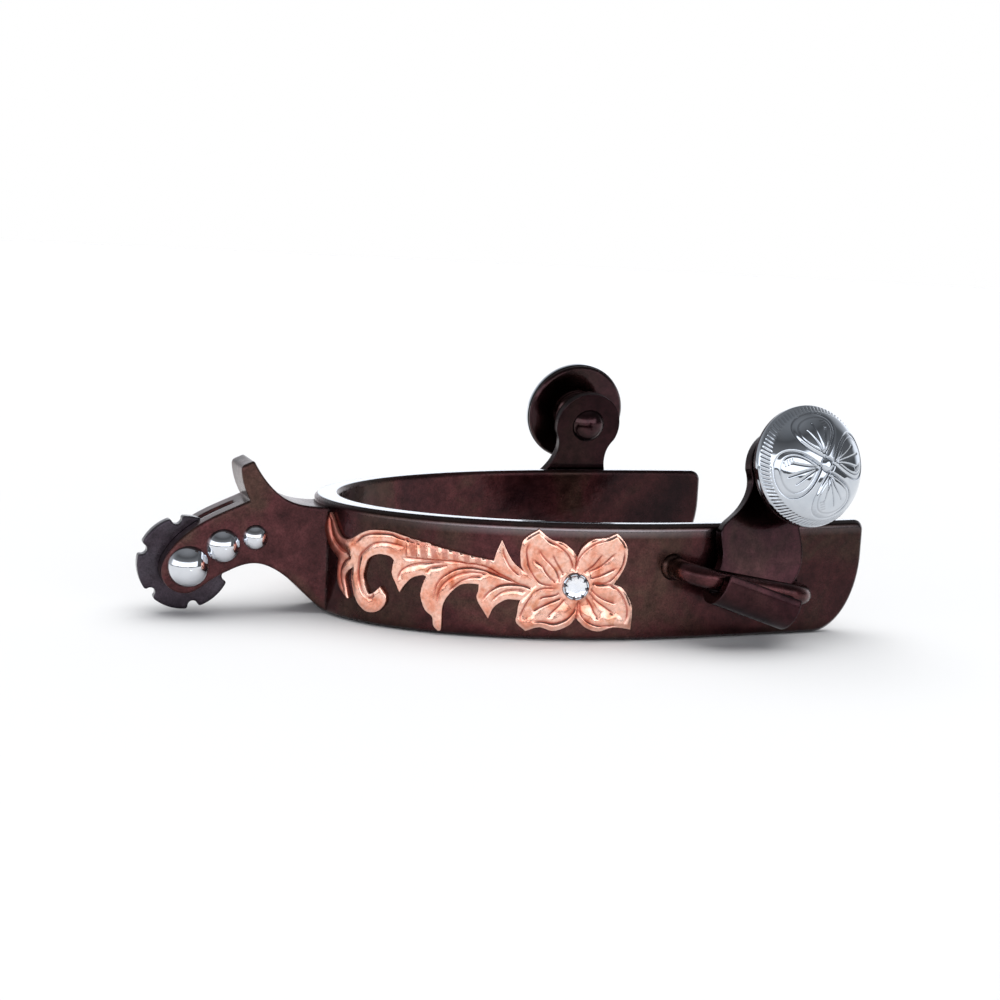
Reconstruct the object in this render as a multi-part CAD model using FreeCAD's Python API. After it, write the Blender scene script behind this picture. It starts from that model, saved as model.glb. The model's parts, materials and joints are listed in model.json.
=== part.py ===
import FreeCAD, Part
import os
from math import cos, pi, radians, sin, sqrt, tan

# A western spur for one boot, lying on the bottom edge of its heel band.
# +X points to the toe, +Y to the wearer's left, +Z up. The origin is at the heel, on the band's
# bottom edge, half way between the two branches. Millimetres.

V = FreeCAD.Vector
X_AXIS = V(1, 0, 0)
Y_AXIS = V(0, 1, 0)
Z_AXIS = V(0, 0, 1)

# Heel band: half an ellipse round the heel, then two branches that close in slightly.
BAND_HEIGHT = 25.4
BAND_HALF_WIDTH = 42.0
BAND_BEND_X = 70.0
HEEL_OUTSIDE_X = -2.0
HEEL_INSIDE_X = 3.8
BRANCH_THICKNESS = 3.0
BRANCH_RADIUS = 455.0
TIP_X = {"right": 115.2, "left": 112.8}
TIP_TOP_RADIUS = 2.5
TIP_SWEEP_LENGTH = 12.0
TIP_SWEEP_HEIGHT = 17.5
BAND_CHAMFER = 0.7

# Shank: a flat bar that flares into the heel and is slotted for the rowel.
SHANK_THICKNESS = 12.0
SHANK_FLARE_RADIUS = 2.0
SHANK_FLARE_TURN = 68.0
SHANK_STRAIGHT_X = -2.7
SHANK_EDGE = 0.5
SHANK_FRONT_X = 6.0
HORN_TIP_BACK = (-20.6, 33.0)
HORN_TIP_FRONT = (-17.8, 34.2)
HORN_TIP_BACK_RADIUS = 1.2
HORN_TIP_FRONT_RADIUS = 0.5
SLOT_WIDTH = 3.0
SLOT_END_X = -21.0

# Rowel and its pin.
PIN_X = -31.7
PIN_Z = 11.1
PIN_RADIUS = 2.0
ROWEL_RADIUS = 10.3
ROWEL_THICKNESS = 2.4
ROWEL_CLEARANCE = 0.08
NOTCH_COUNT = 6
NOTCH_PHASE = 41.2
NOTCH_RADIUS = 1.15
NOTCH_DEPTH = 1.6
NOTCH_LIP = 0.6

# Domed trim on each side of the shank: x, z, radius, height.
PIN_DOME = (PIN_X, PIN_Z, 4.6, 3.2)
MIDDLE_STUD = (-24.2, 15.5, 3.8, 2.7)
SMALL_STUD = (-17.2, 17.3, 2.85, 2.1)
SPIGOT_RADIUS = 1.0
SPIGOT_LENGTH = 1.8

# Staple welded on each branch, which the strap hanger hooks on.
BAR_RADIUS = 2.2
BAR_Y = 51.0
BAR_HALF_SPAN = 14.6
BAR_BEND_RADIUS = 4.9
BAR_SLOPE = 11.0
WELD_RADIUS = 3.3
WELD_LENGTH = 1.6

# Strap hanger: a plate with a hook along its lower end and a round head.
HOOK_INNER = 3.0
HOOK_OUTER = 5.3
HOOK_ENDS = (-10.1, 8.6)
HOOK_LIP_ANGLE = 13.0
HEAD_X = 0.9
HEAD_Z = 29.1
HEAD_RADIUS = 8.7
HEAD_CHIN_ANGLE = 20.0
HANGER_GAP = 0.1

# Button on the hanger's head, stacked outwards from the head.
RIVET_RADIUS = 2.5
RIVET_DOME = (4.4, 2.7)
POST_RADIUS = 5.2
POST_FOOT_RADIUS = 6.2
POST_LENGTH = 7.1
POST_TAPER = 1.2
POST_FOOT_LENGTH = 1.2
BUTTON_RADIUS = 13.2
BACK_THICKNESS = 1.6
BACK_INSET = 0.2
BACK_EDGE = 0.6
FACE_RIM = 0.9
FACE_HEIGHT = 8.2
FACE_WALL = 0.9

# Copper trim soldered on the outside of each branch.
TRIM_THICKNESS = 0.8
STONE_S = 65.7
STONE_Z = 12.0
STONE_RADIUS = 2.3
BEZEL_RADIUS = 3.0
BEZEL_HEIGHT = 1.5

# What differs from one side to the other: where the staple's bar sits, and how the loose hanger lies.
SIDES = {
    "right": {"bar_x": 81.1, "bar_z": 13.3, "hook_x": 82.3, "hook_z": 11.5, "turn": 19.5, "lean": 12.0},
    "left": {"bar_x": 75.9, "bar_z": 12.3, "hook_x": 76.2, "hook_z": 10.4, "turn": 6.6, "lean": 13.5},
}


def mirrored(shape):
    """The same shape on the other side of the spur."""
    return shape.mirror(V(0, 0, 0), Y_AXIS)


def spline(points):
    """A smooth edge through the points."""
    curve = Part.BSplineCurve()
    curve.interpolate([V(*point) for point in points])
    return curve.toShape()


def prism(edges, direction):
    """A solid swept straight from a closed outline."""
    wire = Part.Wire(Part.__sortEdges__(edges))
    return Part.Face(wire).extrude(direction)


def cap(radius, height):
    """A ball's cap standing on Z = 0, with its axis along +Z."""
    ball = (radius ** 2 + height ** 2) / (2 * height)
    return Part.makeSphere(ball, V(0, 0, height - ball)).common(Part.makeCylinder(ball, height + 1))


def placed(shape, placement):
    """A copy of the shape, moved from wherever it is."""
    moved = shape.copy()
    moved.Placement = placement.multiply(moved.Placement)
    return moved


def aimed(shape, place, direction):
    """The shape with its +Z axis turned to a direction and its origin moved to a place."""
    return placed(shape, FreeCAD.Placement(place, FreeCAD.Rotation(Z_AXIS, direction)))


# ---------------------------------------------------------------- heel band

def branch_y(x, half_width):
    """Distance from the middle line of a branch's wall, past the bend."""
    radius = BRANCH_RADIUS + half_width - BAND_HALF_WIDTH
    return half_width - radius + sqrt(radius ** 2 - (x - BAND_BEND_X) ** 2)


def u_curve(heel_x, half_width, end_x):
    """The band's wall in plan, from the right branch's end round the heel to the left one's."""
    def branch(sign):
        stations = (BAND_BEND_X, (BAND_BEND_X + end_x) / 2, end_x)
        points = [V(x, sign * branch_y(x, half_width), 0) for x in stations]
        return Part.Arc(*points).toShape()

    ellipse = Part.Ellipse(V(heel_x, 0, 0), V(BAND_BEND_X, -half_width, 0), V(BAND_BEND_X, 0, 0))
    return [branch(-1), Part.ArcOfEllipse(ellipse, -pi / 2, pi / 2).toShape(), branch(1)]


def u_ring(outer, inner, end_x):
    """A closed U between two walls, each given as (heel x, half width), at the band's full height."""
    edges = u_curve(*outer, end_x) + u_curve(*inner, end_x)
    for sign in (-1, 1):
        ends = [V(end_x, sign * branch_y(end_x, half_width), 0) for _, half_width in (outer, inner)]
        edges.append(Part.makeLine(*ends))
    return prism(edges, V(0, 0, BAND_HEIGHT))


def tip_profile(tip_x):
    """Side view of the left branch: a small radius at the top of its tip and a long sweep below."""
    sweep_x = tip_x - TIP_SWEEP_LENGTH
    sweep = Part.ArcOfEllipse(
        Part.Ellipse(V(sweep_x, 0, 0), V(tip_x, 0, TIP_SWEEP_HEIGHT), V(sweep_x, 0, TIP_SWEEP_HEIGHT)),
        0, pi / 2).toShape()
    r = TIP_TOP_RADIUS
    back_x = HEEL_OUTSIDE_X - 1
    top_arc = Part.Arc(
        V(tip_x, 0, BAND_HEIGHT - r),
        V(tip_x - r * (1 - cos(pi / 4)), 0, BAND_HEIGHT - r * (1 - sin(pi / 4))),
        V(tip_x - r, 0, BAND_HEIGHT)).toShape()
    corners = [V(sweep_x, 0, 0), V(back_x, 0, 0), V(back_x, 0, BAND_HEIGHT), V(tip_x - r, 0, BAND_HEIGHT)]
    lines = [Part.makeLine(a, b) for a, b in zip(corners, corners[1:])]
    upright = Part.makeLine(V(tip_x, 0, TIP_SWEEP_HEIGHT), V(tip_x, 0, BAND_HEIGHT - r))
    return prism(lines + [top_arc, upright, sweep], V(0, 2 * BAND_HALF_WIDTH, 0))


def heel_band():
    outer = (HEEL_OUTSIDE_X, BAND_HALF_WIDTH)
    inner = (HEEL_INSIDE_X, BAND_HALF_WIDTH - BRANCH_THICKNESS)
    profile = tip_profile(TIP_X["left"]).fuse(mirrored(tip_profile(TIP_X["right"])))
    band = u_ring(outer, inner, max(TIP_X.values()) + 1).common(profile).removeSplitter()
    top = [edge for edge in band.Edges if edge.BoundBox.ZMin > BAND_HEIGHT - 0.01 and edge.Length > 10]
    return band.makeChamfer(BAND_CHAMFER, top)


def outside_block():
    """Everything inside the band's outer wall near the heel, for trimming what is welded to it."""
    ellipse = Part.Ellipse(V(HEEL_OUTSIDE_X, 0, 0), V(BAND_BEND_X, -BAND_HALF_WIDTH, 0), V(BAND_BEND_X, 0, 0))
    block = Part.Face(Part.Wire(ellipse.toShape())).extrude(V(0, 0, 3 * BAND_HEIGHT))
    block.translate(V(0, 0, -BAND_HEIGHT))
    return block


# ---------------------------------------------------------------- shank, rowel and pin

def shank_side():
    """Side view: horn on top, a rounded end about the pin, and a swept underside."""
    back = [
        (-18.5, 0, 25.5), (-22.9, 0, 23.6), (-27.4, 0, 21.5), (-32.2, 0, 18.4), (-36.0, 0, 14.3),
        (-37.5, 0, 10.0), (-35.9, 0, 6.6), (-31.6, 0, 5.2), (-27.4, 0, 7.5), (-22.9, 0, 10.0),
        (-17.2, 0, 11.5), (-11.5, 0, 9.3), (-6.3, 0, 4.8), (-1.9, 0, 1.0), (SHANK_FRONT_X, 0, 0.4)]
    tip_back, tip_front = [(x, 0, z) for x, z in (HORN_TIP_BACK, HORN_TIP_FRONT)]
    horn_front = [tip_front, (-14.6, 0, 29.3), (-10.1, 0, 25.5), (-4.3, 0, 24.0), (SHANK_FRONT_X, 0, 23.8)]
    horn_back = [tip_back, (-20.2, 0, 29.9), (-18.5, 0, 25.5)]
    edges = [
        spline(back), spline(horn_front), spline(horn_back),
        Part.makeLine(V(*tip_back), V(*tip_front)),
        Part.makeLine(V(*back[-1]), V(*horn_front[-1]))]
    side = prism(edges, V(0, 4 * SHANK_THICKNESS, 0))
    side.translate(V(0, -2 * SHANK_THICKNESS, 0))
    for tip, radius in ((tip_back, HORN_TIP_BACK_RADIUS), (tip_front, HORN_TIP_FRONT_RADIUS)):
        ridge = [edge for edge in side.Edges if edge.CenterOfMass.isEqual(V(*tip), 0.01)]
        side = side.makeFillet(radius, ridge)
    return side


def shank_plan():
    """Plan view: parallel cheeks, then a flare on each side that runs into the heel."""
    half = SHANK_THICKNESS / 2
    r = SHANK_FLARE_RADIUS
    turn = radians(SHANK_FLARE_TURN)
    reach = V(SHANK_STRAIGHT_X + r * sin(turn), half + r * (1 - cos(turn)), 0)
    middle = V(SHANK_STRAIGHT_X + r * sin(turn / 2), half + r * (1 - cos(turn / 2)), 0)
    start = V(SHANK_STRAIGHT_X, half, 0)
    back = V(-60, half, 0)
    front = V(8, reach.y, 0)
    flare = Part.Arc(start, middle, reach).toShape()
    upper = [Part.makeLine(back, start), flare, Part.makeLine(reach, front)]
    lower = [mirrored(edge) for edge in upper]
    ends = [Part.makeLine(point, V(point.x, -point.y, 0)) for point in (back, front)]
    return prism(upper + lower + ends, V(0, 0, 2 * BAND_HEIGHT))


def shank():
    body = shank_side().common(shank_plan())
    rims = [edge for edge in body.Edges if is_cheek_rim(edge)]
    body = body.makeFillet(SHANK_EDGE, rims).cut(outside_block())
    slot_back_x = PIN_X - 2 * ROWEL_RADIUS
    slot_foot = V(slot_back_x, -SLOT_WIDTH / 2, -BAND_HEIGHT / 2)
    slot = Part.makeBox(SLOT_END_X - slot_back_x, SLOT_WIDTH, 2 * BAND_HEIGHT, slot_foot)
    bore = Part.makeCylinder(PIN_RADIUS, 2 * SHANK_THICKNESS, V(PIN_X, -SHANK_THICKNESS, PIN_Z), Y_AXIS)
    body = body.cut(slot).cut(bore)
    for x, z, _, _ in (MIDDLE_STUD, SMALL_STUD):
        hole = Part.makeCylinder(SPIGOT_RADIUS, SPIGOT_LENGTH, V(x, SHANK_THICKNESS / 2, z), -Y_AXIS)
        body = body.cut(hole).cut(mirrored(hole))
    return body


def is_cheek_rim(edge):
    """True for the long edges round the shank's two cheeks."""
    box = edge.BoundBox
    flat = box.YLength < 0.01 and abs(abs(box.YMin) - SHANK_THICKNESS / 2) < 0.01
    return flat and box.XMax < SHANK_STRAIGHT_X + 0.1 and edge.Length > 2.0


def rowel():
    disc = Part.makeCylinder(ROWEL_RADIUS, ROWEL_THICKNESS, V(0, 0, -ROWEL_THICKNESS / 2))
    for k in range(NOTCH_COUNT):
        turn = radians(NOTCH_PHASE + 360 * k / NOTCH_COUNT)
        centre = (ROWEL_RADIUS - NOTCH_DEPTH + NOTCH_RADIUS) * V(cos(turn), sin(turn), 0)
        notch = Part.makeCylinder(NOTCH_RADIUS, 2 * ROWEL_THICKNESS, centre - ROWEL_THICKNESS * Z_AXIS)
        disc = disc.cut(notch)
    lips = [edge for edge in disc.Edges if edge.BoundBox.ZLength > ROWEL_THICKNESS - 0.1
            and abs(edge.CenterOfMass.Length - ROWEL_RADIUS) < 0.3 and isinstance(edge.Curve, Part.Line)]
    disc = disc.makeFillet(NOTCH_LIP, lips)
    disc = disc.cut(Part.makeCylinder(PIN_RADIUS + ROWEL_CLEARANCE, 20, V(0, 0, -10)))
    turned = FreeCAD.Placement(V(PIN_X, 0, PIN_Z), FreeCAD.Rotation(X_AXIS, 90))
    disc.Placement = turned
    return disc


def rowel_pin():
    """The pin and the domed head on its right end."""
    half = SHANK_THICKNESS / 2
    x, z, radius, height = PIN_DOME
    shaft = Part.makeCylinder(PIN_RADIUS, 2 * half, V(x, -half, z), Y_AXIS)
    return shaft.fuse(aimed(cap(radius, height), V(x, -half, z), -Y_AXIS)).removeSplitter()


def pin_end_dome():
    x, z, radius, height = PIN_DOME
    return aimed(cap(radius, height), V(x, SHANK_THICKNESS / 2, z), Y_AXIS)


def stud(spec):
    """A domed stud on the left cheek, with a short spigot let into the steel."""
    x, z, radius, height = spec
    foot = V(x, SHANK_THICKNESS / 2, z)
    spigot = Part.makeCylinder(SPIGOT_RADIUS, SPIGOT_LENGTH, foot, -Y_AXIS)
    return aimed(cap(radius, height), foot, Y_AXIS).fuse(spigot).removeSplitter()


# ---------------------------------------------------------------- staple and strap hanger

def staple(side):
    """A round bar bent into the left branch at both ends, with a weld at each root."""
    r = BAR_BEND_RADIUS
    turn = FreeCAD.Placement(V(side["bar_x"], 0, side["bar_z"]), FreeCAD.Rotation(Y_AXIS, BAR_SLOPE))
    foot_y = BAND_HALF_WIDTH - 2
    path = [Part.makeLine(V(r - BAR_HALF_SPAN, BAR_Y, 0), V(BAR_HALF_SPAN - r, BAR_Y, 0))]
    welds = []
    for sign in (-1, 1):
        end = sign * BAR_HALF_SPAN
        bend = Part.Arc(
            V(end, BAR_Y - r, 0),
            V(end - sign * r * (1 - cos(pi / 4)), BAR_Y - r * (1 - sin(pi / 4)), 0),
            V(end - sign * r, BAR_Y, 0))
        path += [bend.toShape(), Part.makeLine(V(end, foot_y, 0), V(end, BAR_Y - r, 0))]
        wall = branch_outside(side["bar_x"] + end)
        welds.append(Part.makeCone(WELD_RADIUS, BAR_RADIUS - 0.1, WELD_LENGTH, V(end, wall - 0.4, 0), Y_AXIS))
    ring = Part.Wire(Part.makeCircle(BAR_RADIUS, V(-BAR_HALF_SPAN, foot_y, 0), Y_AXIS))
    bar = Part.Wire(Part.__sortEdges__(path)).makePipeShell([ring], True, False)
    return placed(bar.fuse(welds), turn).cut(band_block()).removeSplitter()


def branch_outside(x):
    """The band's outer half width at x, for any x."""
    if x > BAND_BEND_X:
        return branch_y(x, BAND_HALF_WIDTH)
    semi = BAND_BEND_X - HEEL_OUTSIDE_X
    return BAND_HALF_WIDTH * sqrt(1 - ((x - BAND_BEND_X) / semi) ** 2)


def band_block():
    """The space inside the band's outer wall, for trimming what is welded to a branch."""
    end_x = TIP_X["left"]
    end = branch_y(end_x, BAND_HALF_WIDTH)
    across = Part.makeLine(V(end_x, -end, 0), V(end_x, end, 0))
    return prism(u_curve(HEEL_OUTSIDE_X, BAND_HALF_WIDTH, end_x) + [across], V(0, 0, BAND_HEIGHT))


def hook_y(side):
    """How far out the hook's middle lies when the hanger's plate leans on the band's top outer edge."""
    lean = radians(side["lean"])
    turn = radians(side["turn"])
    rise = BAND_HEIGHT - side["hook_z"]
    reaches = []
    for x in HOOK_ENDS:
        along = x * cos(turn) + rise * tan(turn)
        wall = branch_outside(side["hook_x"] + along)
        reaches.append(wall + (along * sin(turn) + rise * cos(turn)) * tan(lean))
    return max(reaches) + HOOK_OUTER / cos(lean) + HANGER_GAP


def hung(shape, side):
    """Move a piece from the hanger's own frame to the left branch.

    In its own frame the hook's middle line is the X axis, the plate rises along Z and +Y is outwards.
    """
    turned = FreeCAD.Rotation(Y_AXIS, side["turn"]).multiply(FreeCAD.Rotation(X_AXIS, side["lean"]))
    return placed(shape, FreeCAD.Placement(V(side["hook_x"], hook_y(side), side["hook_z"]), turned))


def hanger_plate():
    """The flat plate: a waist over the hook, wide shoulders, a neck, and a round head over the toe side."""
    head = V(HEAD_X, 0, HEAD_Z)
    chin = radians(HEAD_CHIN_ANGLE)
    heel_chin, toe_chin = [head + HEAD_RADIUS * V(sign * cos(chin), 0, -sin(chin)) for sign in (-1, 1)]
    heel_side = [(HOOK_ENDS[0], 0, 0), (-8.3, 0, 3.0), (-8.4, 0, 6.4), (-10.2, 0, 11.2), (-7.9, 0, 15.6),
                 (-6.0, 0, 20.0), tuple(heel_chin)]
    toe_side = [(HOOK_ENDS[1], 0, 0), (9.5, 0, 3.4), (11.3, 0, 8.4), (10.6, 0, 13.8), (8.3, 0, 18.4),
                (7.7, 0, 22.0), tuple(toe_chin)]
    crown = Part.Arc(toe_chin, head + V(0, 0, HEAD_RADIUS), heel_chin).toShape()
    foot = Part.makeLine(V(HOOK_ENDS[0], 0, 0), V(HOOK_ENDS[1], 0, 0))
    plate = prism([spline(toe_side), spline(heel_side), crown, foot], V(0, HOOK_OUTER - HOOK_INNER, 0))
    plate.translate(V(0, -HOOK_OUTER, 0))
    return plate


def hanger():
    """Plate and hook in one piece; the hook passes under the staple and ends in a free lip."""
    start = V(HOOK_ENDS[0], 0, 0)
    length = HOOK_ENDS[1] - HOOK_ENDS[0]
    ring = Part.makeCylinder(HOOK_OUTER, length, start, X_AXIS)
    ring = ring.cut(Part.makeCylinder(HOOK_INNER, length, start, X_AXIS))
    size = 2 * HOOK_OUTER
    above = Part.makeBox(length, size, size, start - V(0, size, 0))
    lip_clear = Part.makeBox(length, size, size, start)
    lip_clear.rotate(V(0, 0, 0), X_AXIS, HOOK_LIP_ANGLE)
    hook = ring.cut(above).cut(lip_clear)
    body = hook.fuse(hanger_plate()).removeSplitter()
    bore = Part.makeCylinder(RIVET_RADIUS, 4 * HOOK_OUTER, V(HEAD_X, -2 * HOOK_OUTER, HEAD_Z), Y_AXIS)
    return body.cut(bore)


# ---------------------------------------------------------------- button

HEAD_FACE_Y = -HOOK_INNER
BACK_Y = HEAD_FACE_Y + POST_LENGTH
FACE_Y = BACK_Y + BACK_THICKNESS


def turned_part(profile, y):
    """Revolve (radius, height) corners about the rivet's axis, with height running outwards from y."""
    points = [V(radius, 0, height) for radius, height in profile]
    edges = [Part.makeLine(a, b) for a, b in zip(points, points[1:] + points[:1])]
    body = Part.Face(Part.Wire(edges)).revolve(V(0, 0, 0), Z_AXIS, 360)
    return aimed(body, V(HEAD_X, y, HEAD_Z), Y_AXIS)


def button_rivet():
    """Dome on the inside of the head, and the shaft that holds the button's back."""
    radius, height = RIVET_DOME
    inside = V(HEAD_X, -HOOK_OUTER, HEAD_Z)
    shaft = Part.makeCylinder(RIVET_RADIUS, FACE_Y + HOOK_OUTER, inside, Y_AXIS)
    return aimed(cap(radius, height), inside, -Y_AXIS).fuse(shaft).removeSplitter()


def button_post():
    """Sleeve between the hanger and the button, wider where it meets the button's back."""
    foot = POST_LENGTH - POST_FOOT_LENGTH
    profile = [(RIVET_RADIUS, 0), (POST_RADIUS, 0), (POST_RADIUS, foot - POST_TAPER),
               (POST_FOOT_RADIUS, foot), (POST_FOOT_RADIUS, POST_LENGTH), (RIVET_RADIUS, POST_LENGTH)]
    return turned_part(profile, HEAD_FACE_Y)


def button_back():
    rim = BUTTON_RADIUS - BACK_INSET
    profile = [(RIVET_RADIUS, 0), (rim - BACK_EDGE, 0), (rim, BACK_EDGE), (rim, BACK_THICKNESS),
               (RIVET_RADIUS, BACK_THICKNESS)]
    return turned_part(profile, BACK_Y)


def button_face():
    """Hollow domed cap with a short upright rim."""
    rim = Part.makeCylinder(BUTTON_RADIUS, FACE_RIM)
    dome = cap(BUTTON_RADIUS, FACE_HEIGHT - FACE_RIM)
    dome.translate(V(0, 0, FACE_RIM))
    hollow = cap(BUTTON_RADIUS - FACE_WALL, FACE_HEIGHT - FACE_WALL)
    return aimed(rim.fuse(dome).removeSplitter().cut(hollow), V(HEAD_X, FACE_Y, HEAD_Z), Y_AXIS)


# ---------------------------------------------------------------- copper trim

# The trim is laid out flat: s is the distance round the band's outer wall from the heel, z the height.
# Each list is one smooth stroke of a closed outline, and strokes meet in a point or a notch.
SCROLL = [
    [(56.5, 15.0), (53.8, 15.8), (51.7, 17.6), (49.7, 21.5)],
    [(49.7, 21.5), (48.3, 17.0), (44.0, 17.5), (37.0, 19.0), (30.4, 20.3), (24.0, 21.4), (18.6, 20.3),
     (14.6, 18.3)],
    [(14.6, 18.3), (11.3, 19.5), (8.6, 23.2)],
    [(8.6, 23.2), (6.8, 20.0), (9.3, 15.4), (11.9, 13.6)],
    [(11.9, 13.6), (11.7, 9.3), (15.1, 5.1)],
    [(15.1, 5.1), (13.9, 9.2), (16.2, 12.2)],
    [(16.2, 12.2), (16.4, 8.0), (20.4, 3.1), (24.8, 5.6), (23.5, 9.0)],
    [(23.5, 9.0), (20.9, 7.2), (19.0, 10.5), (21.4, 15.4), (26.5, 15.4)],
    [(26.5, 15.4), (26.2, 11.8), (28.1, 8.4)],
    [(28.1, 8.4), (30.8, 11.8), (33.8, 12.6)],
    [(33.8, 12.6), (32.8, 8.1), (35.4, 3.8), (37.0, 0.8)],
    [(37.0, 0.8), (37.9, 6.1), (41.0, 11.0), (45.2, 11.7)],
    [(45.2, 11.7), (45.0, 8.3), (47.5, 4.3)],
    [(47.5, 4.3), (50.4, 8.4), (57.0, 9.0)],
    [(57.0, 9.0), (56.5, 15.0)],
]
FLOWER = [
    [(56.8, 12.2), (53.7, 15.8), (53.7, 20.0), (57.4, 24.2)],
    [(57.4, 24.2), (60.0, 22.1), (63.2, 21.2), (66.0, 18.4)],
    [(66.0, 18.4), (68.0, 21.9), (71.6, 22.8), (74.1, 23.7)],
    [(74.1, 23.7), (76.6, 20.6), (76.1, 15.9), (74.2, 12.4)],
    [(74.2, 12.4), (77.3, 10.2), (78.6, 6.3), (78.3, 2.6)],
    [(78.3, 2.6), (74.6, 3.0), (71.0, 2.2), (68.4, 3.0), (65.9, 4.9)],
    [(65.9, 4.9), (63.4, 2.7), (60.4, 2.4), (55.5, 2.0)],
    [(55.5, 2.0), (53.4, 4.4), (54.2, 8.6), (56.8, 12.2)],
]
SCROLL_AIM = 40.0
FLOWER_AIM = 8.0
TRIM_START = 60.0


def wall_point(s, z):
    """The point on the right branch's outer wall at distance s from the heel and height z."""
    wall = u_curve(HEEL_OUTSIDE_X, BAND_HALF_WIDTH, BAND_BEND_X + 10)[1]
    heel = wall.Length / 2
    point = wall.valueAt(wall.getParameterByLength(heel + s))
    return V(point.x, point.y, z)


def trim_prism(strokes, aim):
    """A solid with the strokes' outline, driven into the right branch at aim degrees off +Y."""
    into = V(sin(radians(aim)), cos(radians(aim)), 0)
    edges = []
    for stroke in strokes:
        flat = []
        for s, z in stroke:
            point = wall_point(s, z)
            flat.append(tuple(point - into * (point.dot(into) + TRIM_START)))
        edges.append(spline(flat) if len(flat) > 2 else Part.makeLine(V(*flat[0]), V(*flat[1])))
    return prism(edges, into * TRIM_START)


def trim_shell():
    """A thin skin on the band's outer wall, as thick as the copper."""
    outer = (HEEL_OUTSIDE_X - TRIM_THICKNESS, BAND_HALF_WIDTH + TRIM_THICKNESS)
    return u_ring(outer, (HEEL_OUTSIDE_X, BAND_HALF_WIDTH), BAND_BEND_X + 5)


def flower():
    return trim_prism(FLOWER, FLOWER_AIM).common(trim_shell())


def scroll():
    body = trim_prism(SCROLL, SCROLL_AIM).common(trim_shell())
    return body.cut(trim_prism(FLOWER, FLOWER_AIM)).cut(shank())


def stone_axis():
    """The stone's foot on the copper, and the direction it faces."""
    foot = wall_point(STONE_S, STONE_Z)
    ahead = wall_point(STONE_S + 0.1, STONE_Z) - foot
    out = V(ahead.y, -ahead.x, 0).normalize()
    return foot + out * TRIM_THICKNESS, out


def stone_bezel():
    foot, out = stone_axis()
    ring = Part.makeCylinder(BEZEL_RADIUS, BEZEL_HEIGHT + 1, V(0, 0, -1))
    ring = ring.cut(Part.makeCylinder(STONE_RADIUS, BEZEL_HEIGHT, V(0, 0, 0.3)))
    return aimed(ring, foot, out).cut(copper_block())


def copper_block():
    """Everything inside the copper's outer surface round the bend."""
    reach = BAND_BEND_X - HEEL_OUTSIDE_X + TRIM_THICKNESS
    half = BAND_HALF_WIDTH + TRIM_THICKNESS
    ellipse = Part.Ellipse(V(BAND_BEND_X - reach, 0, 0), V(BAND_BEND_X, -half, 0), V(BAND_BEND_X, 0, 0))
    return Part.Face(Part.Wire(ellipse.toShape())).extrude(V(0, 0, BAND_HEIGHT))


def rhinestone():
    """Cut stone: a short girdle, a sloping crown and a flat table."""
    foot, out = stone_axis()
    girdle = Part.makeCylinder(STONE_RADIUS, BEZEL_HEIGHT - 0.3, V(0, 0, 0.3))
    crown = Part.makeCone(STONE_RADIUS, STONE_RADIUS * 0.55, 0.9, V(0, 0, BEZEL_HEIGHT))
    return aimed(girdle.fuse(crown), foot, out).removeSplitter()


# ---------------------------------------------------------------- assembly

def spur():
    """Every piece by name. Left pieces are built where they lie, right ones are their mirror."""
    parts = {
        "heel_band": heel_band(), "shank": shank(), "rowel": rowel(), "rowel_pin": rowel_pin(),
        "rowel_pin_left_dome": pin_end_dome()}
    trim = {"scroll": scroll(), "flower": flower(), "stone_bezel": stone_bezel(), "rhinestone": rhinestone()}
    studs = {"middle_stud": stud(MIDDLE_STUD), "small_stud": stud(SMALL_STUD)}
    hung_parts = {
        "strap_hanger": hanger(), "button_post": button_post(), "button_back": button_back(),
        "button_face": button_face(), "button_rivet": button_rivet()}
    for name, side in SIDES.items():
        pieces = dict(studs, hanger_staple=staple(side))
        pieces.update({piece: hung(shape, side) for piece, shape in hung_parts.items()})
        for piece, shape in pieces.items():
            parts[f"{name}_{piece}"] = shape if name == "left" else mirrored(shape)
        for piece, shape in trim.items():
            parts[f"{name}_{piece}"] = shape if name == "right" else mirrored(shape)
    return parts


if __name__ == "__main__":
    os.makedirs("parts", exist_ok=True)
    for node, shape in spur().items():
        shape.exportStep(f"parts/{node}.step")
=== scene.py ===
import json
import math

import bpy
import numpy as np
from mathutils import Matrix, Vector
from mathutils.geometry import delaunay_2d_cdt


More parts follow.
